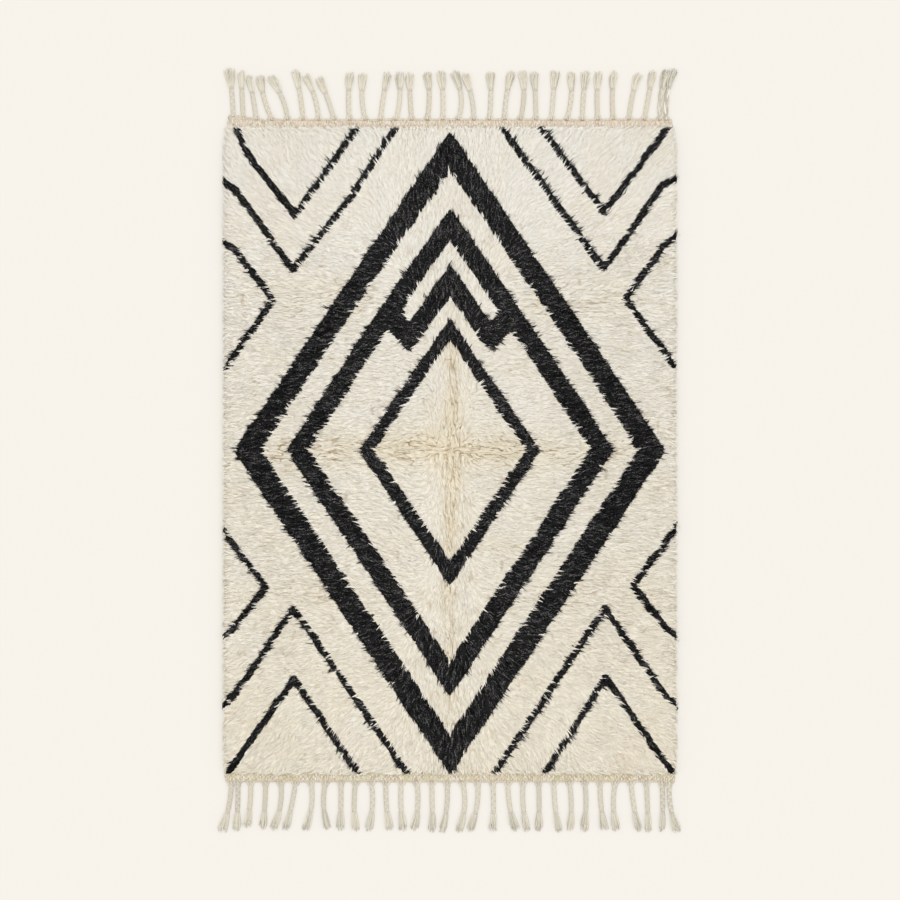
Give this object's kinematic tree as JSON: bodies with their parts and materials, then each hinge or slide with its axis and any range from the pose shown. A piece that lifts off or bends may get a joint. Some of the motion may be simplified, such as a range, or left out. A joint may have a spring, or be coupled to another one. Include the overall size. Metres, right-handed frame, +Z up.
{
  "type": "knotted wool pile rug with plaited fringes",
  "caption": "Flat rectangular shaggy wool rug with a nested lozenge pattern, flat-woven end bands and plaited, tied tassels at both ends.",
  "frame": {"origin": "on the floor, under the centre of the rug", "axes": "+Y along the rug's length towards the head end, +X across its width, +Z up out of the pile"},
  "size_m": [1.624, 2.666, 0.0272],
  "materials": {
    "pile_wool": "long knotted wool pile, cream with charcoal lines",
    "band_wool": "flat-woven undyed wool and plaited warp ends"
  },
  "bodies": {
    "root": {"pile_field": "pile_wool", "fringe_head": "band_wool", "fringe_foot": "band_wool"}
  },
  "joints": []
}
